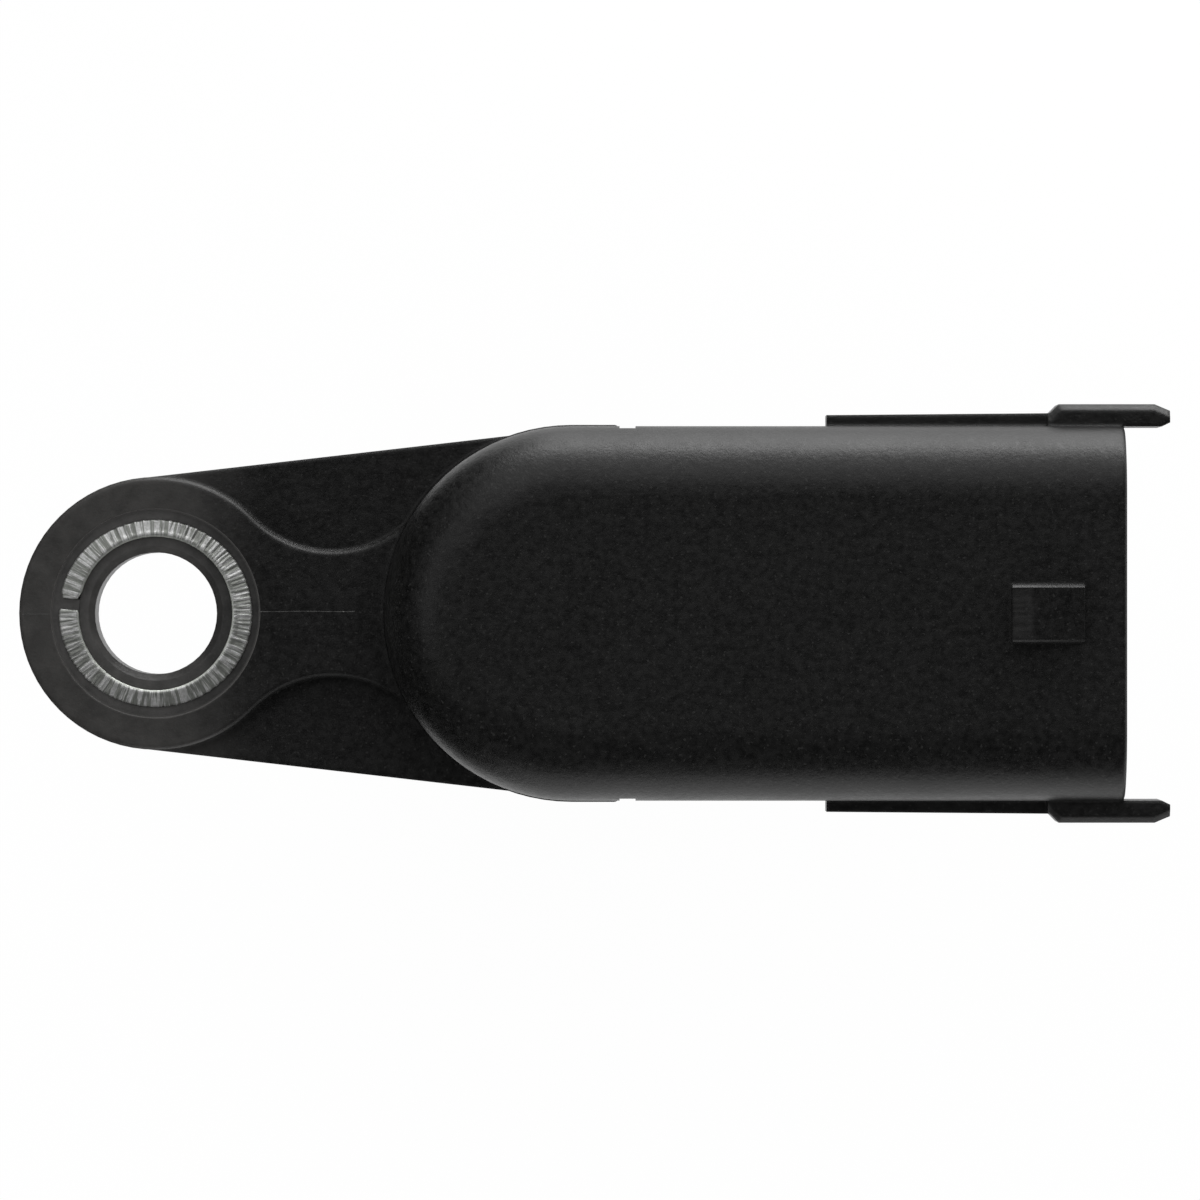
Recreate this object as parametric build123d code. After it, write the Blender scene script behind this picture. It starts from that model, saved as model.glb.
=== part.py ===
from build123d import *
from math import asin, atan2, cos, hypot, pi, radians, sin, sqrt, tan
import os

# Camshaft position sensor, in millimetres.
# The screw's axis meets the engine's face at the origin. +Z points away from the engine, the probe hangs
# along -Z, and the plug socket opens along +X.

# Mounting eye
screw_hole_radius = 3.4
eye_radius = 7.6
hole_bevel = 0.35

# Split bush, rolled from knurled steel strip
bush_inner_radius = 4.28
bush_wall = 0.95
bush_slit = 0.62
bush_slit_angle = 173.8
bush_land = 0.36
bush_end_fall = 0.26
bush_proud = 0.05
bush_lining_drop = 0.45
knurl_count = 66
knurl_depth = 0.14
knurl_share = 0.9
knurl_bare_angle = 42.0

# Recess round the bush
recess_margin = 0.6
recess_depth = 0.3

# Flange plate and the raised pad on it
plate_thickness = 4.0
plate_end_radius = 10.25
plate_rounding = 0.3
pad_rise = 1.3
pad_waist = 3.47
pad_arc_radius = 6.2
pad_end_half_width = 5.8
pad_bevel = 0.17

# Round head over the probe
head_distance = 23.2
skirt_reach = 0.07
skirt_length = 2.65
skirt_step = 0.15
skirt_rounding = 0.3

# Shroud that the head runs out into
shroud_half_width = 10.43
shroud_top = 14.5
shroud_bottom = 1.5
shroud_wall = 1.5
mouth_reach = 30.5
crown_rounding = 3.8
belly_rounding = 2.6
mould_draft = 1.0
notch_width = 0.9
notch_depth = 0.11
mouth_bevel = 0.15

# Socket in the shroud
socket_depth = 16.4
socket_corner = 2.0
socket_lead_in = 0.4

# Side ribs and side arms of the socket
rib_height = 3.6
rib_reach_rear = 0.54
rib_reach_front = 0.68
rib_rounding = 0.3
arm_height = 5.6
arm_reach = 1.13
arm_inset = 0.1
arm_length = 6.74
arm_overhang = 2.55
arm_ramp = 0.6
arm_tip_length = 0.85
arm_tip_width = 0.36
arm_inner_tip_length = 0.45
arm_inner_tip_width = 0.22
arm_bevel = 0.35

# Latch nib on top of the socket
nib_setback = 6.35
nib_length = 4.0
nib_land = 1.2
nib_width = 3.1
nib_height = 1.5
nib_front_height = 0.45
nib_bevel = 0.12

# Shaft and its ring groove
shaft_radius = 8.925
shaft_length = 15.2
shaft_land_end = 13.2
shaft_end_margin = 1.0
groove_start = 3.2
groove_width = 3.3
ring_section = 2.62
ring_section_sides = 12
ring_stretch_radius = 6.7
ring_clearance = 0.02
groove_edge = 0.25

# Nose cap
cap_radius = 6.2
cap_wall = 0.8
cap_floor = 0.6
nose_depth = 24.0
cap_nose_bevel = 0.7
cap_rim_depth = 8.2
cap_rim_width = 0.8
cap_rim_thickness = 1.0

# Holder for chip and magnet
holder_clearance = 0.1
holder_collar = 1.0
tongue_thickness = 3.0
tongue_side_margin = 0.35
tongue_height = 8.0

# Chip, its legs and the magnet behind it
chip_length = 4.0
chip_width = 4.06
chip_thickness = 1.0
leg_pitch = 1.27
leg_width = 0.42
leg_thickness = 0.25
leg_reach = 0.6
leg_spread_start = 6.4
leg_spread_end = 10.4
magnet_radius = 2.3
magnet_length = 5.0

# Terminals
blade_pitch = 5.0
blade_width = 2.8
blade_thickness = 0.8
blade_length = 10.7
blade_root = 1.5
blade_tip_length = 0.9
blade_tip_thickness = 0.25
strip_width = 1.4
strip_pitch = 2.3
strip_converge_start = 3.3
strip_converge_length = 4.0
strip_bend_outer = 1.0
strip_bend_inner = 0.2
weld_depth = 4.5
weld_overlap = 4.0

# Suppressor capacitors
capacitor_length = 2.0
capacitor_height = 1.25
capacitor_thickness = 0.9
capacitor_level = 3.2
capacitor_rounding = 0.1

# Levels and places worked out from the sizes above
pad_top = plate_thickness + pad_rise
skirt_top = pad_top + skirt_step
skirt_radius = shroud_half_width + skirt_reach
bush_length = pad_top + bush_proud
bush_outer_radius = bush_inner_radius + bush_wall
recess_radius = bush_outer_radius + recess_margin
recess_floor = pad_top - recess_depth
lining_top = bush_length - bush_lining_drop
mouth_distance = head_distance + mouth_reach
shroud_height = shroud_top - shroud_bottom
wall_lean = tan(radians(mould_draft))
socket_middle = shroud_bottom + shroud_height / 2
socket_floor = mouth_distance - socket_depth
socket_half_width = shroud_half_width - shroud_wall
holder_radius = cap_radius - cap_wall - holder_clearance
cap_inside_floor = cap_floor - nose_depth
leg_plane = head_distance + chip_length / 2 + leg_reach
strip_plane = leg_plane + leg_thickness
strip_back = strip_plane + blade_thickness
past_mouth = mouth_distance + arm_overhang + shroud_height
pin_places = {"supply": 1, "ground": 0, "signal": -1}

# How far cutting shapes run past what they cut, and how near two places count as one
overrun = 1.0
nearness = 1e-4


def closed_face(*edges):
    """Face bounded by edges that join end to end."""
    return make_face(Wire(list(edges)))


def mirrored(point):
    """The point on the other side of the middle plane."""
    return (point[0], -point[1])


def raised(outline, low, height, taper=0.0):
    """Upright block over a flat outline, from a level up. Taper is the draft of its sides in degrees."""
    return extrude(Pos(0, 0, low) * outline, height, dir=(0, 0, 1), taper=taper)


def box_between(low, high):
    """Block given by two opposite corners."""
    size = [b - a for a, b in zip(low, high)]
    middle = [(a + b) / 2 for a, b in zip(low, high)]
    return Pos(*middle) * Box(*size)


def turned(profile_points, x=0.0):
    """Solid of revolution round the vertical axis at x, from points of radius and level."""
    outline = make_face(Polyline(*[(r, 0, z) for r, z in profile_points], close=True))
    return Pos(x, 0, 0) * revolve(outline, Axis.Z)


def disc(radius, low, high, x=0.0):
    """Upright cylinder between two levels."""
    return raised(Pos(x, 0) * Circle(radius), low, high - low)


def ribbon(points, width):
    """Flat strip of one width along a path of straight runs, with mitred corners."""
    left, right = [], []
    for i, (x, y) in enumerate(points):
        before = points[max(i - 1, 0)]
        after = points[min(i + 1, len(points) - 1)]
        run_in = atan2(y - before[1], x - before[0]) if i else None
        run_out = atan2(after[1] - y, after[0] - x) if i < len(points) - 1 else run_in
        run_in = run_out if run_in is None else run_in
        across = (run_in + run_out) / 2 + pi / 2
        reach = width / 2 / cos((run_out - run_in) / 2)
        left.append((x + reach * cos(across), y + reach * sin(across)))
        right.append((x - reach * cos(across), y - reach * sin(across)))
    return make_face(Polyline(*left, *reversed(right), close=True))


def plate():
    """Flange plate: straight sides tangent to the eye and to the head's end."""
    lean = asin((plate_end_radius - eye_radius) / head_distance)
    near = (-eye_radius * sin(lean), eye_radius * cos(lean))
    far = (head_distance - plate_end_radius * sin(lean), plate_end_radius * cos(lean))
    outline = closed_face(
        Line(near, far),
        ThreePointArc(far, (head_distance + plate_end_radius, 0), mirrored(far)),
        Line(mirrored(far), mirrored(near)),
        ThreePointArc(mirrored(near), (-eye_radius, 0), near),
    )
    solid = raised(outline, 0, plate_thickness)
    return chamfer(solid.edges().group_by(Axis.Z)[0], plate_rounding)


def pad():
    """Raised pad: the eye's circle, necked by two hollow arcs, that widens again into the head."""
    arc_y = pad_waist + pad_arc_radius
    arc_x = sqrt((eye_radius + pad_arc_radius) ** 2 - arc_y**2)
    share = eye_radius / (eye_radius + pad_arc_radius)
    joint = (arc_x * share, arc_y * share)
    end = (arc_x + sqrt(pad_arc_radius**2 - (arc_y - pad_end_half_width) ** 2), pad_end_half_width)
    inside = (head_distance, pad_end_half_width)
    outline = closed_face(
        ThreePointArc(joint, (arc_x, pad_waist), end),
        Line(end, inside),
        Line(inside, mirrored(inside)),
        Line(mirrored(inside), mirrored(end)),
        ThreePointArc(mirrored(end), (arc_x, -pad_waist), mirrored(joint)),
        ThreePointArc(mirrored(joint), (-eye_radius, 0), joint),
    )
    solid = raised(outline, 0, pad_top)
    top = solid.edges().group_by(Axis.Z)[-1].sort_by(Axis.X)[:-1]
    return chamfer(top, pad_bevel)


def half_round(radius, end):
    """Outline of a half round end about the head's axis, whose straight sides run on to a place along x."""
    near = (head_distance, radius)
    far = (end, radius)
    return closed_face(
        ThreePointArc(near, (head_distance - radius, 0), mirrored(near)),
        Line(mirrored(near), mirrored(far)),
        Line(mirrored(far), far),
        Line(far, near),
    )


def skirt():
    """Low drum under the head, a little wider than it, that ends square at the notch."""
    solid = raised(half_round(skirt_radius, head_distance + skirt_length), 0, skirt_top)
    solid = fillet(solid.edges().filter_by(Axis.Z).group_by(Axis.X)[-1], skirt_rounding)
    return chamfer(solid.edges().group_by(Axis.Z)[0], plate_rounding)


def crown():
    """Head and upper shroud in one sweep: a half round end and straight sides under a rounded top."""
    outline = half_round(shroud_half_width, past_mouth)
    solid = raised(outline, skirt_top, shroud_top - skirt_top, mould_draft)
    rim = solid.edges().group_by(Axis.Z)[-1].sort_by(Axis.X)[:-1]
    return fillet(rim, crown_rounding)


def belly():
    """Lower half of the shroud, below the mould's parting level."""
    low_half_width = shroud_half_width - (skirt_top - shroud_bottom) * wall_lean
    outline = Polyline(
        (head_distance, shroud_half_width, skirt_top),
        (head_distance, -shroud_half_width, skirt_top),
        (head_distance, -low_half_width, shroud_bottom),
        (head_distance, low_half_width, shroud_bottom),
        close=True,
    )
    solid = extrude(make_face(outline), past_mouth - head_distance, dir=(1, 0, 0))
    return fillet(solid.edges().filter_by(Axis.X).group_by(Axis.Z)[0], belly_rounding)


def notch(side):
    """Narrow groove where the skirt ends. It follows the wall's draft and runs out in the rounded top."""
    start = head_distance + skirt_length
    inner = shroud_half_width - notch_depth
    outer = skirt_radius + overrun
    outline = make_face(
        Polyline(
            (start, side * inner, 0),
            (start, side * inner, skirt_top),
            (start, side * (inner - (shroud_top - skirt_top) * wall_lean), shroud_top),
            (start, side * outer, shroud_top),
            (start, side * outer, 0),
            close=True,
        )
    )
    return extrude(outline, notch_width, dir=(1, 0, 0))


def rib(side):
    """Guide rib along one side of the socket, a little wider towards the mouth."""
    root = shroud_half_width - shroud_wall / 2
    outline = make_face(
        Polyline(
            (socket_floor, side * root),
            (socket_floor, side * (shroud_half_width + rib_reach_rear)),
            (mouth_distance, side * (shroud_half_width + rib_reach_front)),
            (mouth_distance, side * root),
            close=True,
        )
    )
    solid = raised(outline, socket_middle - rib_height / 2, rib_height)
    outer = solid.edges().group_by(Axis.Y)[-1 if side > 0 else 0]
    return fillet(outer.filter_by(Axis.Z), rib_rounding)


def arm(side):
    """Side arm that reaches past the mouth and leads the plug in."""
    tip = mouth_distance + arm_overhang
    rear = tip - arm_length
    root = shroud_half_width - shroud_wall / 2
    inner = shroud_half_width - arm_inset
    outer = shroud_half_width + arm_reach
    points = (
        (rear, root),
        (rear, outer - arm_ramp),
        (rear + arm_ramp, outer),
        (tip - arm_tip_length, outer),
        (tip, outer - arm_tip_width),
        (tip, inner + arm_inner_tip_width),
        (tip - arm_inner_tip_length, inner),
        (mouth_distance, inner),
        (mouth_distance, root),
    )
    outline = make_face(Polyline(*[(x, side * y) for x, y in points], close=True))
    solid = raised(outline, socket_middle - arm_height / 2, arm_height)
    middle = (inner + outer) / 2
    flat_edges = solid.edges().filter_by(Axis.Z, reverse=True)
    outer_edges = [e for e in flat_edges if abs(e.center().Y) > middle and e.center().X > rear + nearness]
    return chamfer(outer_edges, arm_bevel)


def nib():
    """Latch nib: upright towards the head, a short land, then a ramp down to the mouth."""
    start = mouth_distance - nib_setback
    root = shroud_top - shroud_wall / 2
    outline = Polyline(
        (start, 0, root),
        (start, 0, shroud_top + nib_height),
        (start + nib_land, 0, shroud_top + nib_height),
        (start + nib_length, 0, shroud_top + nib_front_height),
        (start + nib_length, 0, root),
        close=True,
    )
    solid = extrude(make_face(outline), nib_width / 2, dir=(0, 1, 0), both=True)
    front_level = shroud_top + nib_front_height
    lengthwise = solid.edges().filter_by(Axis.Y, reverse=True)
    upper = [e for e in lengthwise if e.center().Z > front_level]
    return chamfer(upper, nib_bevel)


def shaft():
    """Probe shaft below the flange, with the groove that holds the sealing ring."""
    groove_end = groove_start + groove_width
    groove_floor = ring_stretch_radius
    neck = cap_radius + shaft_end_margin
    return turned(
        [
            (0, plate_thickness / 2),
            (shaft_radius, plate_thickness / 2),
            (shaft_radius, groove_edge - groove_start),
            (shaft_radius - groove_edge, -groove_start),
            (groove_floor, -groove_start),
            (groove_floor, -groove_end),
            (shaft_radius - groove_edge, -groove_end),
            (shaft_radius, -groove_end - groove_edge),
            (shaft_radius, -shaft_land_end),
            (neck, -shaft_length),
            (0, -shaft_length),
        ],
        head_distance,
    )


def socket():
    """Hollow of the plug socket, with a lead-in at the mouth."""
    height = shroud_height - 2 * shroud_wall
    outline = RectangleRounded(2 * socket_half_width, height, socket_corner)
    hollow = extrude(Plane.YZ.offset(socket_floor) * outline, socket_depth + overrun)
    lead = loft(
        [
            Plane.YZ.offset(mouth_distance - socket_lead_in) * outline,
            Plane.YZ.offset(mouth_distance + socket_lead_in)
            * RectangleRounded(
                2 * (socket_half_width + 2 * socket_lead_in),
                height + 4 * socket_lead_in,
                socket_corner + 2 * socket_lead_in,
            ),
        ]
    )
    return Pos(0, 0, socket_middle) * (hollow + lead)


def screw_room():
    """Room round the screw: a bevelled hole in the lining, the bush's bore above it and the recess."""
    above = pad_top + overrun
    return turned(
        [
            (0, -overrun),
            (screw_hole_radius, -overrun),
            (screw_hole_radius, lining_top - hole_bevel),
            (screw_hole_radius + hole_bevel, lining_top),
            (bush_inner_radius, lining_top),
            (bush_inner_radius, recess_floor),
            (recess_radius, recess_floor),
            (recess_radius, above),
            (0, above),
        ]
    )


def bush_blank():
    """The bush before it is slit: a sleeve whose upper end falls away outwards."""
    return turned(
        [
            (bush_inner_radius, 0),
            (bush_outer_radius, 0),
            (bush_outer_radius, bush_length - bush_end_fall),
            (bush_inner_radius + bush_land, bush_length),
            (bush_inner_radius, bush_length),
        ]
    )


def bush_slit_cut():
    """Radial gap where the strip's two ends meet."""
    half = bush_slit / 2
    gap = box_between((0, -half, -overrun), (bush_outer_radius + overrun, half, bush_length + overrun))
    return Rot(0, 0, bush_slit_angle) * gap


def knurl_valley(angle):
    """One valley of the knurl: it starts at the land and opens over the falling end of the bush."""
    start_radius = bush_inner_radius + bush_land
    end_radius = bush_outer_radius + bush_wall
    growth = (end_radius - start_radius) / (bush_outer_radius - start_radius)
    half_width = knurl_share * pi * bush_outer_radius / knurl_count * growth
    level = bush_length - bush_end_fall * growth
    mouth = Polyline(
        (end_radius, half_width, level),
        (end_radius, 0, level - knurl_depth * growth),
        (end_radius, -half_width, level),
        (end_radius, 0, level + knurl_depth * growth),
        close=True,
    )
    cutter = loft([Vertex(start_radius, 0, bush_length), make_face(mouth)], ruled=True)
    return Rot(0, 0, angle) * cutter


def mounting_bush():
    """Split steel sleeve whose knurl shows as fine radial teeth on its end."""
    sleeve = bush_blank() - bush_slit_cut()
    pitch_angle = 360 / knurl_count
    first = bush_slit_angle - knurl_bare_angle
    valleys = int((360 - knurl_bare_angle) / pitch_angle)
    return sleeve - [knurl_valley(first - i * pitch_angle) for i in range(valleys)]


def nose_cap_profile():
    """Outer profile of the cap from its nose up to its rim."""
    rim = cap_radius + cap_rim_width
    return [
        (0, -nose_depth),
        (cap_radius, -nose_depth),
        (cap_radius, -cap_rim_depth - cap_rim_thickness),
        (rim, -cap_rim_depth - cap_rim_thickness),
        (rim, -cap_rim_depth),
    ]


def cap_envelope():
    """Everything that the cap encloses, with the cap."""
    return turned(nose_cap_profile() + [(0, -cap_rim_depth)], head_distance)


def sensor_cap():
    """Thin cup over chip and magnet, with a rim that the housing is moulded round."""
    bore = cap_radius - cap_wall
    cup = turned(
        nose_cap_profile() + [(bore, -cap_rim_depth), (bore, cap_inside_floor), (0, cap_inside_floor)],
        head_distance,
    )
    nose = cup.edges().filter_by(GeomType.CIRCLE).group_by(Axis.Z)[0]
    return chamfer(nose, cap_nose_bevel)


def sealing_ring():
    """Rubber ring stretched into the groove. Narrow flats stand for its round section."""
    radius = ring_stretch_radius + ring_clearance + ring_section / 2
    level = -groove_start - groove_width / 2
    flat_turn = 180 / ring_section_sides
    section = Rot(0, 0, flat_turn) * RegularPolygon(ring_section / 2, ring_section_sides, major_radius=False)
    ring = revolve(Plane.XZ * Pos(radius, 0) * section, Axis.Z)
    return Pos(head_distance, 0, level) * ring


def chip():
    """Moulded body of the Hall element, flat against the nose."""
    half = chip_length / 2
    return box_between(
        (head_distance - half, -chip_width / 2, cap_inside_floor),
        (head_distance + half, chip_width / 2, cap_inside_floor + chip_thickness),
    )


def chip_leg(place):
    """One leg: out of the chip's edge, bent up, spread sideways and up to its terminal."""
    middle = cap_inside_floor + chip_thickness / 2
    foot_low = middle - leg_thickness / 2
    near = place * leg_pitch
    far = place * strip_pitch
    path = [
        (near, foot_low),
        (near, cap_inside_floor + leg_spread_start),
        (far, cap_inside_floor + leg_spread_end),
        (far, weld_overlap - weld_depth),
    ]
    upright = extrude(Plane.YZ.offset(leg_plane) * ribbon(path, leg_width), leg_thickness)
    foot = box_between(
        (head_distance + chip_length / 2, near - leg_width / 2, foot_low),
        (leg_plane, near + leg_width / 2, foot_low + leg_thickness),
    )
    return upright + foot


def magnet():
    """Bias magnet behind the chip."""
    level = cap_inside_floor + chip_thickness
    return Pos(head_distance, 0, level + magnet_length / 2) * Cylinder(magnet_radius, magnet_length)


def chip_holder():
    """Moulded holder: a plug with a flat for the legs, a collar on the cap's rim and a tongue above it."""
    collar_low = -cap_rim_depth
    collar_high = collar_low + holder_collar
    plug = disc(holder_radius, cap_inside_floor, collar_low, head_distance)
    flat = box_between(
        (leg_plane, -cap_radius, -nose_depth),
        (leg_plane + cap_radius, cap_radius, collar_low),
    )
    collar = disc(cap_radius + cap_rim_width, collar_low, collar_high, head_distance)
    half = strip_pitch + strip_width / 2 + tongue_side_margin
    tongue = box_between(
        (leg_plane - tongue_thickness, -half, collar_high),
        (leg_plane, half, collar_high + tongue_height),
    )
    leg_room = box_between(
        (head_distance, -chip_width / 2, cap_inside_floor),
        (leg_plane, chip_width / 2, cap_inside_floor + chip_thickness),
    )
    solid = (plug - flat) + collar + tongue
    solid = solid - chip() - leg_room - magnet()
    for place in pin_places.values():
        solid = solid - chip_leg(place)
    return solid


def terminal(place):
    """Stamped strip: a blade in the socket, a neck that converges in the head, a leg down to the weld."""
    blade_y = place * blade_pitch
    strip_y = place * strip_pitch
    half = blade_thickness / 2
    shoulder = socket_floor - blade_root
    tip = socket_floor + blade_length
    blade = box_between(
        (shoulder, blade_y - blade_width / 2, socket_middle - half),
        (tip, blade_y + blade_width / 2, socket_middle + half),
    )
    blade = bevelled_tip(blade, tip)
    turn_in = shoulder - strip_converge_start + blade_root
    path = [
        (shoulder + blade_root / 2, blade_y),
        (turn_in, blade_y),
        (turn_in - strip_converge_length, strip_y),
        (strip_plane, strip_y),
    ]
    if place == 0:
        path = [path[0], path[-1]]
    neck = raised(ribbon(path, strip_width), socket_middle - half, blade_thickness)
    leg = box_between(
        (strip_plane, strip_y - strip_width / 2, -weld_depth),
        (strip_back, strip_y + strip_width / 2, socket_middle + half),
    )
    solid = blade + neck + leg
    across = solid.edges().filter_by(Axis.Y)
    solid = fillet([e for e in across if on_line(e, strip_plane, socket_middle + half)], strip_bend_outer)
    across = solid.edges().filter_by(Axis.Y)
    return fillet([e for e in across if on_line(e, strip_back, socket_middle - half)], strip_bend_inner)


def on_line(edge, x, z):
    """Whether a crosswise edge lies at this place and level."""
    return hypot(edge.center().X - x, edge.center().Z - z) < nearness


def bevelled_tip(blade, tip):
    """The blade with its broad faces bevelled towards the tip."""
    half = blade_thickness / 2
    for side in (1, -1):
        level = socket_middle + side * half
        corner = Polyline(
            (tip - blade_tip_length, 0, level),
            (tip, 0, level - side * blade_tip_thickness),
            (tip, 0, level),
            close=True,
        )
        blade = blade - extrude(make_face(corner), blade_pitch * 2, dir=(0, 1, 0), both=True)
    return blade


def capacitor(place):
    """Chip capacitor that bridges ground and one neighbour."""
    y = place * strip_pitch / 2
    body = box_between(
        (strip_back, y - capacitor_length / 2, capacitor_level - capacitor_height / 2),
        (strip_back + capacitor_thickness, y + capacitor_length / 2, capacitor_level + capacitor_height / 2),
    )
    return fillet(body.edges().group_by(Axis.X)[-1], capacitor_rounding)


def moulding():
    """The housing's outer form with its hollows, before the inserts take their room."""
    beyond = box_between(
        (mouth_distance, -shroud_half_width - overrun, -overrun),
        (past_mouth + overrun, shroud_half_width + overrun, shroud_top + overrun),
    )
    shroud = crown() + belly() - beyond
    shroud = chamfer(shroud.edges().group_by(Axis.X)[-1], mouth_bevel)
    solid = plate() + pad() + skirt() + shroud + shaft() + nib()
    for side in (1, -1):
        solid = solid - notch(side) + rib(side) + arm(side)
    return solid - socket() - screw_room()


def housing(inserts):
    """One moulding round the bush, the terminals, the capacitors, the holder and the cap's rim."""
    solid = moulding()
    for insert in inserts:
        solid = solid - insert
    return solid


legs = {name: chip_leg(place) for name, place in pin_places.items()}
terminals = {name: terminal(place) for name, place in pin_places.items()}
capacitors = {name: capacitor(place) for name, place in pin_places.items() if place}
holder = chip_holder()
bush = mounting_bush()
bush_room = bush_blank() - bush_slit_cut()

nodes = {
    "housing": housing(
        [bush_room, cap_envelope(), holder, *legs.values(), *terminals.values(), *capacitors.values()]
    ),
    "mounting_bush": bush,
    "o_ring": sealing_ring(),
    "sensor_cap": sensor_cap(),
    "chip_carrier": holder,
    "magnet": magnet(),
    "hall_chip": chip(),
}
nodes |= {f"chip_lead_{name}": leg for name, leg in legs.items()}
nodes |= {f"terminal_{name}": strip for name, strip in terminals.items()}
nodes |= {f"capacitor_{name}": body for name, body in capacitors.items()}

os.makedirs("parts", exist_ok=True)
for name, shape in nodes.items():
    export_step(shape, f"parts/{name}.step")
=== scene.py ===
import math

import bmesh
import bpy
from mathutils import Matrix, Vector

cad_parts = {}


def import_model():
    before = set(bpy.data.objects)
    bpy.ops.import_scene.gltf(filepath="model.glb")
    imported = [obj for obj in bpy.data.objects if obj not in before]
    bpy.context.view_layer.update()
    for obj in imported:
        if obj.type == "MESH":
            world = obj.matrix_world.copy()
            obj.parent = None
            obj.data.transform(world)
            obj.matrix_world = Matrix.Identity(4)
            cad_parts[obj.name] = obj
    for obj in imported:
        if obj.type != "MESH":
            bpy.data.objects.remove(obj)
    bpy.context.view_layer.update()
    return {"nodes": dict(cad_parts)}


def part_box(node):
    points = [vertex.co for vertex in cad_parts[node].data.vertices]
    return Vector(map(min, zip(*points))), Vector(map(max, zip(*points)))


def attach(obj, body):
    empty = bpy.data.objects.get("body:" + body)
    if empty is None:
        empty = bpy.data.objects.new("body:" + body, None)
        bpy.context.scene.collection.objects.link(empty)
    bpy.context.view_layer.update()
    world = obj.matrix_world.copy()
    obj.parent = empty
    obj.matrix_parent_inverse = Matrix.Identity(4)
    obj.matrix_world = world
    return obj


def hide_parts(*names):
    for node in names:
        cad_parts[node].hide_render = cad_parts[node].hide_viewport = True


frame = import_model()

MM = 0.001
nodes = frame["nodes"]


def in_millimetres(corners):
    """A box's two corners, given in metres, in millimetres."""
    return [[c / MM for c in corner] for corner in corners]


# Corners of the CAD nodes, in millimetres
HOUSING_LOW, HOUSING_HIGH = in_millimetres(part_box("housing"))
BUSH_HIGH = in_millimetres(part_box("mounting_bush"))[1]
RING_LOW, RING_HIGH = in_millimetres(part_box("o_ring"))
CAP_LOW, CAP_HIGH = in_millimetres(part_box("sensor_cap"))

# Places on the CAD part, in millimetres
EYE_RADIUS = -HOUSING_LOW[0]
BUSH_OUTER_RADIUS = BUSH_HIGH[1]
BUSH_TOP = BUSH_HIGH[2]
BUSH_PROUD = 0.05
PAD_TOP = BUSH_TOP - BUSH_PROUD
RECESS_MARGIN = 0.6
RECESS_RADIUS = BUSH_OUTER_RADIUS + RECESS_MARGIN
SHROUD_TOP = 14.5
NIB_TOP = HOUSING_HIGH[2]
NIB_LAND_X = 47.92
HEAD_RADIUS = 10.5
HEAD_X = (CAP_LOW[0] + CAP_HIGH[0]) / 2
HEAD_EDGE_X = HEAD_X - HEAD_RADIUS
RING_SECTION_RADIUS = (RING_HIGH[2] - RING_LOW[2]) / 2
RING_LEVEL = (RING_HIGH[2] + RING_LOW[2]) / 2
RING_RADIUS = RING_HIGH[1] - RING_SECTION_RADIUS
NOSE_LEVEL = CAP_LOW[2]

# The rolled bush, in millimetres and degrees
BUSH_INNER_RADIUS = 4.28
BUSH_LAND_RADIUS = 4.52
BUSH_FALL = 0.12
BUSH_FLARE = 0.17
BUSH_BEVEL = 0.06
BUSH_SLIT = 0.62
BUSH_SLIT_ANGLE = 173.8
KNURL_COUNT = 66
KNURL_DEPTH = 0.07
KNURL_LENGTH = 0.45
KNURL_BARE_ANGLE = 42.0

# Camera straight above the part, in millimetres
VIEW_CENTRE = (24.77, 0.745)
VIEW_HEIGHT = 607.0
LENS = 324.0
SENSOR = 36.0

# Studio, in millimetres
FLOOR_LEVEL = NOSE_LEVEL - 0.1
FLOOR_SIZE = 6000.0
FLAG_LEVEL = FLOOR_LEVEL + 0.3
FLAG_NEAR_X = -7.0
FLAG_X = -45.0
FLAG_HALF_WIDTH = 160.0
FLAG_TOP = 42.0


# Shader nodes

def node(tree, kind, inputs=None, **settings):
    """A shader node whose inputs are given values or other nodes' outputs."""
    made = tree.nodes.new("ShaderNode" + kind)
    for name, value in settings.items():
        setattr(made, name, value)
    for name, value in (inputs or {}).items():
        if isinstance(value, bpy.types.NodeSocket):
            tree.links.new(value, made.inputs[name])
        else:
            made.inputs[name].default_value = value
    return made


def math_node(tree, operation, *values):
    """Output of a Math node."""
    return node(tree, "Math", dict(enumerate(values)), operation=operation).outputs[0]


def product(tree, first, *others):
    """Product of several outputs and numbers."""
    for other in others:
        first = math_node(tree, "MULTIPLY", first, other)
    return first


def remap(tree, value, span, to=(0.0, 1.0), smooth=False):
    """Value carried from one span to another and held there."""
    kind = "SMOOTHSTEP" if smooth else "LINEAR"
    inputs = {"Value": value, "From Min": span[0], "From Max": span[1], "To Min": to[0], "To Max": to[1]}
    return node(tree, "MapRange", inputs, interpolation_type=kind).outputs["Result"]


def band(tree, value, centre, full, none):
    """1 up to one distance from a centre, falling to 0 at another."""
    away = math_node(tree, "ABSOLUTE", math_node(tree, "SUBTRACT", value, centre))
    return remap(tree, away, (full, none), (1.0, 0.0))


def millimetres(tree):
    """Position in the row frame, in millimetres."""
    place = node(tree, "TexCoord").outputs["Object"]
    return node(tree, "VectorMath", {0: place, "Scale": 1 / MM}, operation="SCALE").outputs[0]


def stretched(tree, place, factors):
    """Position multiplied along each axis."""
    return node(tree, "VectorMath", {0: place, 1: factors}, operation="MULTIPLY").outputs[0]


def polar(tree, place):
    """Distance from the screw's axis, angle round it and level, in millimetres and radians."""
    x, y, z = node(tree, "SeparateXYZ", {"Vector": place}).outputs
    flat = node(tree, "CombineXYZ", {0: x, 1: y}).outputs[0]
    radius = node(tree, "VectorMath", {0: flat}, operation="LENGTH").outputs["Value"]
    return radius, math_node(tree, "ARCTAN2", y, x), z


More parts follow.
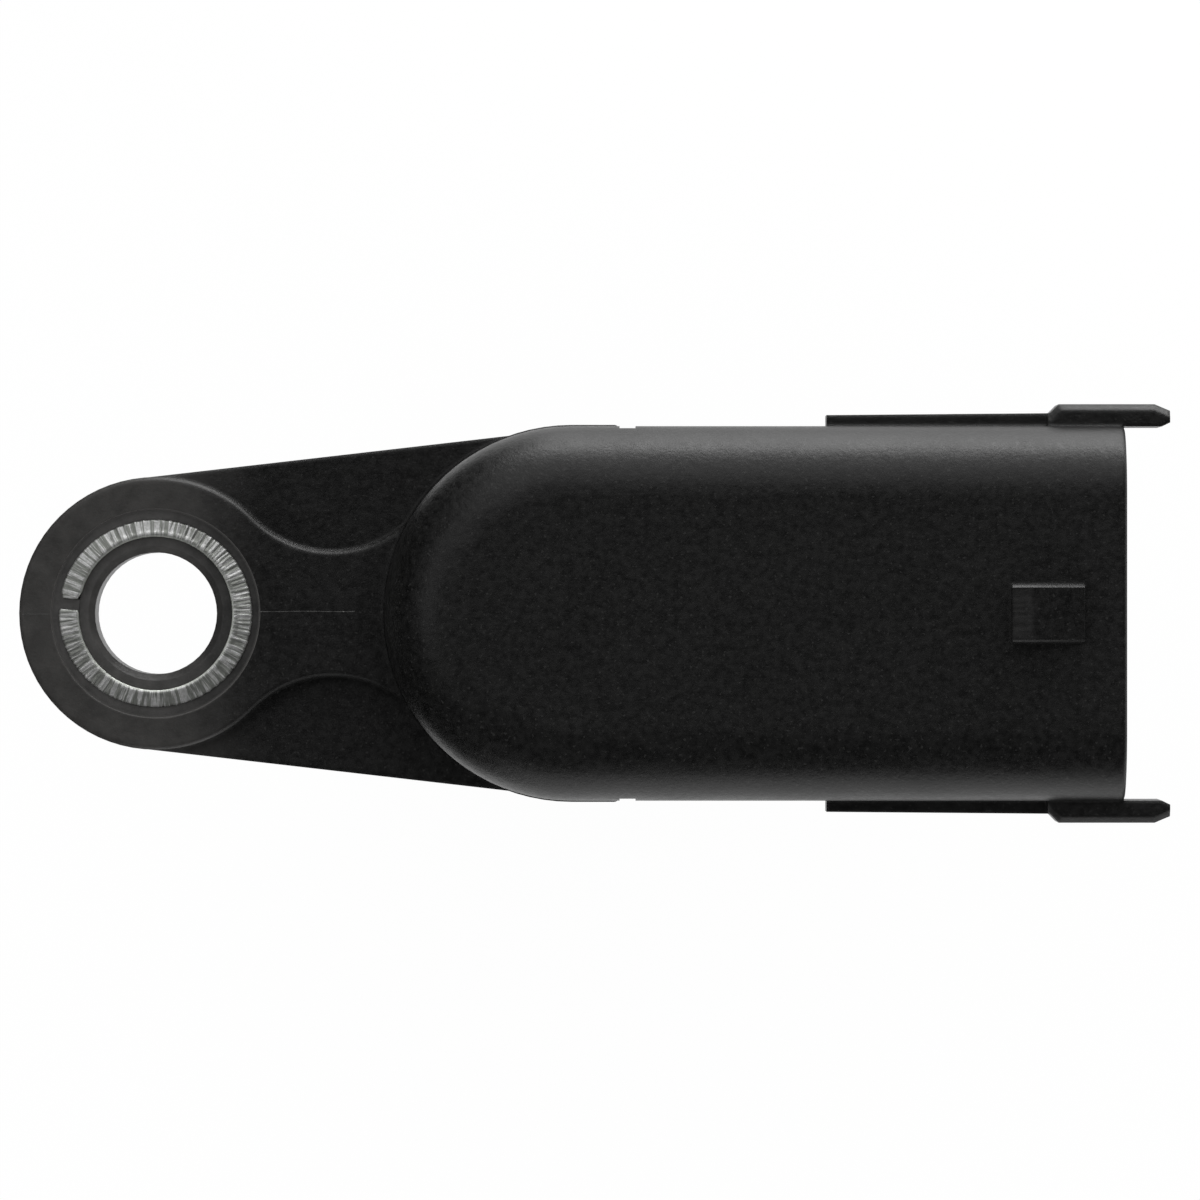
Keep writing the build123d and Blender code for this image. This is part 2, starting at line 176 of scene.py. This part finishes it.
def noise(tree, place, scale, detail=2.0, roughness=0.5):
    """Noise from 0 to 1 with that many features a millimetre."""
    inputs = {"Vector": place, "Scale": scale, "Detail": detail, "Roughness": roughness}
    return node(tree, "TexNoise", inputs).outputs["Fac"]


def blended(tree, share, first, second):
    """Colour mixed from two by a share."""
    mix = node(tree, "Mix", {"Factor": share, "A": first, "B": second}, data_type="RGBA")
    return mix.outputs["Result"]


def tint(colour, factor):
    """Colour made lighter or darker, as the four numbers of a socket."""
    return tuple(min(1.0, c * factor) for c in colour) + (1.0,)


def bump(tree, height, depth, normal=None):
    """Normal bent by a height from 0 to 1 that stands for a depth in millimetres."""
    inputs = {"Height": height, "Distance": depth * MM}
    if normal is not None:
        inputs["Normal"] = normal
    return node(tree, "Bump", inputs).outputs["Normal"]


def new_material(name, **sockets):
    """Material with its shader, whose constants are set on the shader's own sockets."""
    material = bpy.data.materials.new(name)
    material.use_nodes = True
    tree = material.node_tree
    shader = tree.nodes["Principled BSDF"]
    for socket, value in sockets.items():
        shader.inputs[socket.replace("_", " ")].default_value = value
    return material, tree, shader, millimetres(tree)


def plug_in(tree, shader, **outputs):
    """Links outputs to the shader's sockets."""
    for socket, output in outputs.items():
        tree.links.new(output, shader.inputs[socket.replace("_", " ")])


# Painted light on the housing

def painted_glare_on_eye(tree, place, tone):
    """Tone with painted light on the eye for the glare of the white backdrop near its edge, paler in the
    bush's recess, where it lifts the recess's shade.
    """
    glare_end_x = 6.5
    recess_share = 0.5
    # Painted light: a grey for the glare on the eye, and a paler one against the shade in the recess
    painted_glare_colour = (0.036, 0.0345, 0.0325, 1)
    painted_light_recess_colour = (0.062, 0.060, 0.058, 1)
    x = node(tree, "SeparateXYZ", {"Vector": place}).outputs[0]
    radius, _, _ = polar(tree, place)
    glare = remap(tree, x, (0.0, glare_end_x), (1.0, 0.0), smooth=True)
    sunk = remap(tree, radius, (RECESS_RADIUS - 0.1, RECESS_RADIUS), (1.0, 0.0))
    glare = math_node(tree, "MAXIMUM", glare, product(tree, sunk, recess_share))
    patchy = remap(tree, noise(tree, place, scale=0.9, detail=4.0, roughness=0.65), (0.3, 0.7), (0.55, 1.0))
    glare_tone = blended(tree, sunk, painted_glare_colour, painted_light_recess_colour)
    return blended(tree, product(tree, glare, patchy), tone, glare_tone)


def painted_light_recess(tree, place, tone):
    """Tone with a painted highlight in patches on the recess's edge round its south side, and painted light
    on the wall inside it.
    """
    edge_radius = RECESS_RADIUS + 0.03
    highlight_angle = -1.85
    # Painted highlight on the recess's south edge, and painted light on its wall against the wall's shade
    painted_highlight_colour = (0.06, 0.058, 0.056, 1)
    painted_light_wall_colour = (0.085, 0.082, 0.079, 1)
    radius, angle, _ = polar(tree, place)
    highlight_ring = band(tree, radius, edge_radius, full=0.015, none=0.06)
    south = band(tree, angle, highlight_angle, full=0.55, none=1.25)
    way_round = node(tree, "CombineXYZ", {0: angle}).outputs[0]
    broken = remap(tree, noise(tree, way_round, scale=3.3, detail=3.0), (0.42, 0.6), (0.1, 0.8))
    tone = blended(tree, product(tree, highlight_ring, broken, south), tone, painted_highlight_colour)
    wall = band(tree, radius, RECESS_RADIUS, full=0.02, none=0.14)
    inside = remap(tree, radius, (RECESS_RADIUS, RECESS_RADIUS + 0.02), (1.0, 0.0))
    return blended(tree, product(tree, wall, inside), tone, painted_light_wall_colour)


def painted_light_nib_land(tree, place, tone):
    """Tone with painted light on the nib's land, a lighter grey striped along the part."""
    # Painted light: the flat land drawn lighter than the shroud's top around it
    painted_light_land_colour = (0.013, 0.0128, 0.0125, 1)
    x, y, z = node(tree, "SeparateXYZ", {"Vector": place}).outputs
    on_land = band(tree, x, NIB_LAND_X, full=0.42, none=0.62)
    across = band(tree, y, 0.0, full=1.3, none=1.5)
    on_top = remap(tree, z, (NIB_TOP - 0.25, NIB_TOP - 0.15))
    along = stretched(tree, place, (0.3, 3.0, 0.3))
    stripes = remap(tree, noise(tree, along, scale=1.6, detail=3.0), (0.4, 0.65), (0.35, 1.0))
    return blended(tree, product(tree, on_land, across, on_top, stripes), tone, painted_light_land_colour)


# Materials

def soft_edges(tree, place, rounding):
    """Normal with rounded edges, which are sharper above the shroud's top and round the bush."""
    sharp_rounding = 0.03
    bush_share = 0.2
    edge_samples = 6
    radius, _, level = polar(tree, place)
    above_shroud = (SHROUD_TOP + 0.05, SHROUD_TOP + 0.15)
    width = remap(tree, level, above_shroud, (rounding * MM, sharp_rounding * MM))
    round_bush = (RECESS_RADIUS + 0.3, RECESS_RADIUS + 0.6)
    share = remap(tree, radius, round_bush, (bush_share, 1.0))
    bevel = node(tree, "Bevel", {"Radius": product(tree, width, share)}, samples=edge_samples)
    return bevel.outputs["Normal"]


def moulded_plastic(name, colour, roughness, grain_depth, mottle=0.6, rounding=0.32, with_painted_light=False):
    """Black glass-filled plastic: cloudy sheen, mottled tone, a fine spark-eroded grain and soft edges."""
    fleck_lightness = 5.0
    patch_depth = 1.5 * grain_depth
    material, tree, shader, place = new_material(name, IOR=1.5)
    cloud = noise(tree, place, scale=0.22, detail=3.0)
    patch = noise(tree, place, scale=2.4, detail=4.0, roughness=0.65)
    grain = noise(tree, place, scale=5.5, detail=3.0, roughness=0.6)
    fleck = remap(tree, noise(tree, place, scale=6.0, detail=0.0), (0.70, 0.80))
    mottled = remap(tree, patch, (0.36, 0.64))
    tone = blended(tree, mottled, tint(colour, 1 - mottle), tint(colour, 1 + mottle))
    tone = blended(tree, fleck, tone, tint(colour, fleck_lightness))
    # Painted light and a painted highlight on the eye, the recess and the nib's land
    if with_painted_light:
        for painted_mark in (painted_glare_on_eye, painted_light_recess, painted_light_nib_land):
            tone = painted_mark(tree, place, tone)
    clouded = remap(tree, cloud, (0.3, 0.7), (-0.03, 0.03))
    patched = remap(tree, patch, (0.3, 0.7), (-0.05, 0.05))
    rough = math_node(tree, "ADD", math_node(tree, "ADD", clouded, patched), roughness)
    normal = bump(tree, grain, grain_depth, soft_edges(tree, place, rounding))
    normal = bump(tree, patch, patch_depth, normal)
    plug_in(tree, shader, Base_Color=tone, Roughness=rough, Normal=normal)
    return material


def bush_steel(name, colour):
    """Zinc plate on rolled steel: fine radial lines from the knurl, smoother and even at the bore."""
    lines_per_radian = 5.0
    lines_per_millimetre = 0.09
    material, tree, shader, place = new_material(name, Metallic=0.93)
    radius, angle, _ = polar(tree, place)
    ways = {0: product(tree, angle, lines_per_radian), 1: product(tree, radius, lines_per_millimetre)}
    lines = node(tree, "CombineXYZ", ways).outputs[0]
    streak = noise(tree, lines, scale=6.0, detail=2.0, roughness=0.6)
    fine = noise(tree, lines, scale=18.0, detail=2.0, roughness=0.6)
    stain = noise(tree, place, scale=0.9, detail=3.0)
    pits = noise(tree, place, scale=7.0, detail=3.0, roughness=0.7)
    bore_edge = (BUSH_INNER_RADIUS + 0.03, BUSH_INNER_RADIUS + 0.15)
    outer = remap(tree, radius, bore_edge, (0.1, 1.0), smooth=True)
    tone = blended(tree, remap(tree, streak, (0.455, 0.545)), tint(colour, 0.40), tint(colour, 1.2))
    tone = blended(tree, outer, tint(colour, 1.05), tone)
    tone = blended(tree, remap(tree, pits, (0.42, 0.60), (0.4, 0.0)), tone, tint(colour, 0.55))
    tone = blended(tree, remap(tree, stain, (0.5, 0.75), (0.0, 0.25)), tone, tint(colour, 0.6))
    stained = remap(tree, stain, (0.4, 0.7), (0.0, 0.06))
    rough = math_node(tree, "ADD", remap(tree, fine, (0.3, 0.7), (0.38, 0.52)), stained)
    height = product(tree, math_node(tree, "ADD", streak, product(tree, fine, 0.4)), outer)
    normal = bump(tree, pits, 0.01, bump(tree, height, 0.035))
    plug_in(tree, shader, Base_Color=tone, Roughness=rough, Normal=normal)
    return material


def rubber(name, colour):
    """Nitrile rubber with a faint bloom and a thin film of oil."""
    material, tree, shader, place = new_material(name, IOR=1.52, Coat_Weight=0.15, Coat_Roughness=0.25)
    bloom = noise(tree, place, scale=0.7, detail=4.0, roughness=0.6)
    grain = noise(tree, place, scale=9.0, detail=2.0)
    tone = blended(tree, remap(tree, bloom, (0.35, 0.7)), tint(colour, 0.8), tint(colour, 1.7))
    rough = remap(tree, bloom, (0.3, 0.7), (0.42, 0.6))
    plug_in(tree, shader, Base_Color=tone, Roughness=rough, Normal=bump(tree, grain, 0.006))
    return material


def plated_metal(name, colour, stretch, roughness):
    """Tin-plated strip with fine rolling lines, which the stretch draws out, and duller spots."""
    material, tree, shader, place = new_material(name, Metallic=1.0)
    lines = noise(tree, stretched(tree, place, stretch), scale=7.0, detail=3.0, roughness=0.6)
    spots = noise(tree, place, scale=1.3, detail=3.0, roughness=0.6)
    tone = blended(tree, remap(tree, spots, (0.4, 0.7)), tint(colour, 1.05), tint(colour, 0.75))
    rough = math_node(tree, "ADD", remap(tree, lines, (0.3, 0.7), (-0.06, 0.08)), roughness)
    plug_in(tree, shader, Base_Color=tone, Roughness=rough, Normal=bump(tree, lines, 0.004))
    return material


def granular(name, colour, roughness, scale, depth, metallic=0.0):
    """Matt grained solid, for the sealed pieces."""
    patch_ratio = 6
    material, tree, shader, place = new_material(name, Metallic=metallic)
    grain = noise(tree, place, scale, detail=4.0, roughness=0.65)
    patch = noise(tree, place, scale / patch_ratio, detail=2.0)
    tone = blended(tree, remap(tree, grain, (0.35, 0.65)), tint(colour, 0.8), tint(colour, 1.2))
    rough = math_node(tree, "ADD", remap(tree, patch, (0.3, 0.7), (-0.07, 0.07)), roughness)
    plug_in(tree, shader, Base_Color=tone, Roughness=rough, Normal=bump(tree, grain, depth))
    return material


def dress(name, material):
    """Gives a CAD node its material."""
    slots = nodes[name].data.materials
    slots.clear()
    slots.append(material)


housing_look = moulded_plastic(
    "housing_plastic", (0.0029, 0.0029, 0.0028), roughness=0.42, grain_depth=0.014, mottle=0.97, with_painted_light=True
)
# Painted highlight: the raised line's plastic is drawn about ten times lighter than the housing's, for the
# light its ridge catches
witness_highlight_look = moulded_plastic(
    "witness_plastic_painted_highlight", (0.03, 0.03, 0.029), roughness=0.5, grain_depth=0.002, rounding=0.01
)
cap_look = moulded_plastic("cap_plastic", (0.007, 0.007, 0.0072), roughness=0.36, grain_depth=0.004)
carrier_look = moulded_plastic("carrier_plastic", (0.03, 0.03, 0.031), roughness=0.5, grain_depth=0.004)
bush_look = bush_steel("bush_steel", (0.90, 0.93, 0.87))
rubber_look = rubber("ring_rubber", (0.012, 0.012, 0.013))
tin_look = plated_metal("terminal_tin", (0.72, 0.71, 0.67), stretch=(0.08, 1.0, 0.3), roughness=0.3)
magnet_look = granular(
    "magnet_alloy", (0.30, 0.30, 0.31), roughness=0.45, scale=4.0, depth=0.01, metallic=1.0
)
epoxy_look = granular("chip_epoxy", (0.02, 0.02, 0.02), roughness=0.6, scale=7.0, depth=0.004)
ceramic_look = granular("capacitor_ceramic", (0.36, 0.27, 0.18), roughness=0.55, scale=6.0, depth=0.003)

dress("housing", housing_look)
dress("mounting_bush", bush_look)
dress("o_ring", rubber_look)
dress("sensor_cap", cap_look)
dress("chip_carrier", carrier_look)
dress("magnet", magnet_look)
dress("hall_chip", epoxy_look)
for pin in ("supply", "ground", "signal"):
    dress("chip_lead_" + pin, tin_look)
    dress("terminal_" + pin, tin_look)
for pin in ("supply", "signal"):
    dress("capacitor_" + pin, ceramic_look)


# Pieces that the scene adds

def mesh_object(name, vertices, faces, material, smooth=True):
    """Object whose vertices are given in millimetres in the row frame."""
    mesh = bpy.data.meshes.new(name)
    mesh.from_pydata([[c * MM for c in v] for v in vertices], [], faces)
    mesh.validate()
    bm = bmesh.new()
    bm.from_mesh(mesh)
    bmesh.ops.recalc_face_normals(bm, faces=bm.faces)
    bm.to_mesh(mesh)
    bm.free()
    mesh.polygons.foreach_set("use_smooth", [smooth] * len(mesh.polygons))
    mesh.materials.append(material)
    made = bpy.data.objects.new(name, mesh)
    bpy.context.scene.collection.objects.link(made)
    return made


def skin(loops, points, closed):
    """Faces between neighbouring loops of points, and where closed also from the last to the first."""
    faces = []
    for i in range(loops if closed else loops - 1):
        here = i * points
        beyond = (i + 1) % loops * points
        for k in range(points):
            after = (k + 1) % points
            faces.append((here + k, here + after, beyond + after, beyond + k))
    return faces


def sealing_ring():
    """Smooth rubber ring with the fine flash line that its mould leaves outside and inside."""
    around = 160
    section = 48
    flash = 0.03
    vertices = []
    for i in range(around):
        turn = 2 * math.pi * i / around
        for k in range(section):
            tilt = 2 * math.pi * k / section
            reach = RING_SECTION_RADIUS - flash
            if k % (section // 2) == 0:
                reach += flash
            radius = RING_RADIUS + reach * math.cos(tilt)
            level = RING_LEVEL + reach * math.sin(tilt)
            vertices.append((HEAD_X + radius * math.cos(turn), radius * math.sin(turn), level))
    ring = mesh_object("sealing_ring", vertices, skin(around, section, closed=True), rubber_look)
    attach(ring, "root")
    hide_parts("o_ring")


def witness_line():
    """Fine raised line that the two halves of the mould leave across the pad's top."""
    half_width = 0.03
    height = 0.012
    foot = 0.005
    sway = 0.012
    sway_rate = 1.7
    steps = 24
    section = [(-half_width, -foot), (0.0, height), (half_width, -foot)]
    rim_margin = 0.2
    recess_margin = 0.02
    head_margin = 1.6
    west_y = -0.06
    east_y = 0.105
    west_run = (-EYE_RADIUS + rim_margin, -RECESS_RADIUS - recess_margin, west_y)
    east_run = (RECESS_RADIUS + recess_margin, HEAD_EDGE_X - head_margin, east_y)
    vertices = []
    faces = []
    for start, end, middle_y in (west_run, east_run):
        base = len(vertices)
        for i in range(steps + 1):
            x = start + (end - start) * i / steps
            y = sway * math.sin(sway_rate * x) + middle_y
            vertices += [(x, y + across, PAD_TOP + up) for across, up in section]
        for i in range(steps):
            a = base + 3 * i
            faces += [(a, a + 3, a + 4, a + 1), (a + 1, a + 4, a + 5, a + 2), (a, a + 2, a + 5, a + 3)]
        last = base + 3 * steps
        faces += [(base, base + 1, base + 2), (last, last + 2, last + 1)]
    line = mesh_object("mould_witness_line", vertices, faces, witness_highlight_look, smooth=False)
    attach(line, "root")


def knurl_relief(turn):
    """Depth of the knurl from 0 on a ridge to 1 in a valley, at an angle in degrees past the slit."""
    roundness = 0.8
    split_share = 0.55
    split_phase = 1.3
    split_start = 40.0
    shallowest = 0.65
    run_out = 12.0
    beat, second_beat, beat_start = 12.9898, 7.233, 4.1
    tooth = turn / 360 * KNURL_COUNT
    index = math.floor(tooth)
    uneven = 0.5 + 0.5 * math.sin(beat * index + beat_start) * math.sin(second_beat * index)
    main = 0.5 - 0.5 * math.cos(2 * math.pi * tooth)
    minor = 0.5 - 0.5 * math.cos(4 * math.pi * tooth + split_phase)
    split = split_share * (0.5 + 0.5 * math.sin(math.radians(turn * 2.0 + split_start)))
    relief = (1 - split) * main**roundness + split * minor
    fade = min(1.0, max(0.0, (360 - KNURL_BARE_ANGLE - turn) / run_out))
    return relief * (shallowest + (1 - shallowest) * uneven) * fade


def bush_section():
    """Outline of the bush's wall, as radius, level and the share of the knurl's depth cut there."""
    face_steps = 9
    land_step = 0.004
    knurl_rise = 0.12
    shoulder = [(0.0, 0.10), (0.02, 0.03)]
    lip = [(BUSH_BEVEL, 0.0), (0.025, 0.01), (0.006, 0.03), (0.0, 0.07)]
    inner, outer, top = BUSH_INNER_RADIUS, BUSH_OUTER_RADIUS, BUSH_TOP
    edge_level = top - BUSH_FALL
    face_radius = outer - BUSH_BEVEL
    slope = BUSH_FALL / (outer - BUSH_LAND_RADIUS)
    points = [(inner + BUSH_BEVEL, 0.0, 0.0), (face_radius, 0.0, 0.0), (outer, BUSH_BEVEL, 0.0)]
    points.append((outer, top - KNURL_LENGTH, 0.0))
    points += [(outer - into, edge_level - down, 1.0) for into, down in shoulder]
    for step in range(face_steps + 1):
        radius = face_radius - (face_radius - BUSH_LAND_RADIUS) * step / face_steps
        outside_land = radius - BUSH_LAND_RADIUS
        level = top - land_step - outside_land * slope
        points.append((radius, level, min(1.0, outside_land / knurl_rise)))
    points.append((BUSH_LAND_RADIUS - BUSH_BEVEL, top, 0.0))
    points += [(inner + out, top - down, 0.0) for out, down in lip]
    points.append((inner, BUSH_BEVEL, 0.0))
    return points


def rounded_off(distance, reach, share):
    """Share by which the wall draws in to its middle, at a distance from the slit's side."""
    return max(0.0, 1 - distance / reach) ** 2 * share


def bush_point(radius, level, knurl_share, share):
    """A point of the section, at a share of the way round from one side of the slit to the other."""
    side_band = 0.03
    side_share = 0.5
    corner_drop = 0.10
    middle_radius = (BUSH_INNER_RADIUS + BUSH_OUTER_RADIUS) / 2
    slit = math.degrees(math.asin(BUSH_SLIT / 2 / radius))
    turn = slit + (360 - 2 * slit) * share
    angle = math.radians(BUSH_SLIT_ANGLE + turn)
    from_start = math.radians(turn - slit) * middle_radius
    from_end = math.radians(360 - slit - turn) * middle_radius
    pull = rounded_off(from_end, reach=0.55, share=0.34) + rounded_off(from_start, reach=0.2, share=0.12)
    reach = radius + (middle_radius - radius) * pull
    depth = knurl_relief(turn) * knurl_share * KNURL_DEPTH
    lowered = level - depth
    if level > BUSH_TOP - KNURL_LENGTH:
        spread = max(0.0, (radius - BUSH_LAND_RADIUS) / (BUSH_OUTER_RADIUS - BUSH_LAND_RADIUS))
        reach += BUSH_FLARE * math.cos(angle) ** 2 * spread
    if radius > BUSH_OUTER_RADIUS - side_band:
        reach -= side_share * depth
    if level > BUSH_TOP / 2:
        lowered -= corner_drop * pull
    return reach * math.cos(angle), reach * math.sin(angle), lowered


def rolled_bush():
    """Split steel bush: knurl ridges that run out over its end, rounded corners at the slit."""
    stations_per_ridge = 14
    stations = KNURL_COUNT * stations_per_ridge
    section = bush_section()
    vertices = [bush_point(*point, i / stations) for i in range(stations + 1) for point in section]
    faces = skin(stations + 1, len(section), closed=False)
    faces.append(tuple(range(len(section))))
    faces.append(tuple(reversed(range(stations * len(section), len(vertices)))))
    bush = mesh_object("rolled_bush", vertices, faces, bush_look)
    for slit_face in bush.data.polygons[-2:]:
        slit_face.use_smooth = False
    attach(bush, "root")
    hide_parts("mounting_bush")


sealing_ring()
witness_line()
rolled_bush()


# Studio

def seen_ray(tree):
    """1 for the rays that show the background: straight to the camera, in a gloss or through glass."""
    path = node(tree, "LightPath")
    glossy = math_node(tree, "MAXIMUM", path.outputs["Is Camera Ray"], path.outputs["Is Glossy Ray"])
    return math_node(tree, "MAXIMUM", glossy, path.outputs["Is Transmission Ray"])


def floor():
    """Plain pale floor that shows white and keeps the object's shadow."""
    glow_share = 0.97
    half = FLOOR_SIZE / 2
    corners = [(-half, -half), (half, -half), (half, half), (-half, half)]
    material, tree, shader, place = new_material("floor_card", Roughness=0.9)
    paper = noise(tree, place, scale=0.02, detail=3.0)
    plug_in(tree, shader, Base_Color=blended(tree, paper, (0.84, 0.84, 0.84, 1), (0.88, 0.88, 0.88, 1)))
    glow = node(tree, "Emission", {"Color": (1, 1, 1, 1), "Strength": 1.0})
    share = product(tree, seen_ray(tree), glow_share)
    mix = node(tree, "MixShader", {0: share, 1: shader.outputs[0], 2: glow.outputs[0]})
    tree.links.new(mix.outputs[0], tree.nodes["Material Output"].inputs["Surface"])
    vertices = [(x, y, FLOOR_LEVEL) for x, y in corners]
    made = mesh_object("studio_floor", vertices, [(0, 1, 2, 3)], material, smooth=False)


def flag():
    """Black card west of the object, one half over the floor and one upright. Only glosses see it."""
    rows = [(FLAG_NEAR_X, FLAG_LEVEL), (FLAG_X, FLAG_LEVEL), (FLAG_X, FLAG_TOP)]
    vertices = [(x, side * FLAG_HALF_WIDTH, z) for x, z in rows for side in (-1, 1)]
    material, tree, shader, place = new_material("flag_card", Roughness=0.95)
    felt = noise(tree, place, scale=0.5, detail=3.0)
    plug_in(tree, shader, Base_Color=blended(tree, felt, (0.01, 0.01, 0.01, 1), (0.02, 0.02, 0.02, 1)))
    made = mesh_object("studio_flag", vertices, [(0, 1, 3, 2), (2, 3, 5, 4)], material, smooth=False)
    made.visible_camera = False
    made.visible_diffuse = False
    made.visible_shadow = False


def world():
    """Pale surroundings, white at the horizon and dim overhead, as in a studio with a dark ceiling."""
    fill = 0.85
    # Height, from 0 straight down to 1 straight up, and the brightness there
    levels = [(0.0, 1.0), (0.52, 1.0), (0.535, 0.35), (0.58, 0.16)]
    levels += [(0.67, 0.10), (0.76, 0.06), (0.84, 0.05), (1.0, 0.06)]
    made = bpy.data.worlds.new("studio")
    bpy.context.scene.world = made
    made.use_nodes = True
    tree = made.node_tree
    background = tree.nodes["Background"]
    up = node(tree, "SeparateXYZ", {"Vector": node(tree, "TexCoord").outputs["Generated"]}).outputs[2]
    ramp = node(tree, "ValToRGB", {"Fac": math_node(tree, "MULTIPLY_ADD", up, 0.5, 0.5)})
    stops = ramp.color_ramp.elements
    for position, _ in levels[1:-1]:
        stops.new(position)
    for stop, (_, level) in zip(sorted(stops, key=lambda s: s.position), levels):
        stop.color = (level, level, level, 1)
    shown = blended(tree, seen_ray(tree), (fill, fill, fill, 1), ramp.outputs["Color"])
    camera_ray = node(tree, "LightPath").outputs["Is Camera Ray"]
    tree.links.new(blended(tree, camera_ray, shown, (1, 1, 1, 1)), background.inputs["Color"])
    background.inputs["Strength"].default_value = 1.0


def lamp(name, place, target, size, radiance):
    """Flat soft lamp of a given radiance, turned to a target. Places and sizes are in metres."""
    data = bpy.data.lights.new(name, "AREA")
    data.shape = "RECTANGLE"
    data.size, data.size_y = size
    data.energy = radiance * math.pi * size[0] * size[1]
    made = bpy.data.objects.new(name, data)
    made.location = place
    made.rotation_euler = (Vector(target) - Vector(place)).to_track_quat("-Z", "Y").to_euler()
    made.visible_camera = False
    bpy.context.scene.collection.objects.link(made)


def camera():
    """Camera straight above, as for the photograph."""
    data = bpy.data.cameras.new("camera")
    data.type = "PERSP"
    data.sensor_fit = "HORIZONTAL"
    data.sensor_width = SENSOR
    data.lens = LENS
    data.clip_start = 0.01
    data.clip_end = 50.0
    made = bpy.data.objects.new("camera", data)
    made.location = (VIEW_CENTRE[0] * MM, VIEW_CENTRE[1] * MM, VIEW_HEIGHT * MM)
    bpy.context.scene.collection.objects.link(made)
    bpy.context.scene.camera = made


floor()
flag()
world()
middle = (0.024, 0.0, 0.005)
under_socket = (0.055, 0.0, -0.004)
lamp("north_strip", (0.20, 0.90, 0.055), middle, size=(0.9, 0.20), radiance=7.3)
lamp("north_card", (0.055, 0.062, -0.004), under_socket, size=(0.085, 0.034), radiance=1.75)
lamp("north_soft", (0.00, 0.75, 0.45), middle, size=(1.2, 0.60), radiance=0.6)
lamp("north_high", (0.03, 0.42, 0.62), middle, size=(0.7, 0.5), radiance=0.55)
lamp("south_soft", (0.03, -0.95, 0.10), middle, size=(1.4, 0.16), radiance=0.5)
lamp("west_soft", (-0.60, 0.10, 0.68), middle, size=(0.5, 0.36), radiance=0.8)
camera()

bpy.context.scene.view_settings.view_transform = "Standard"
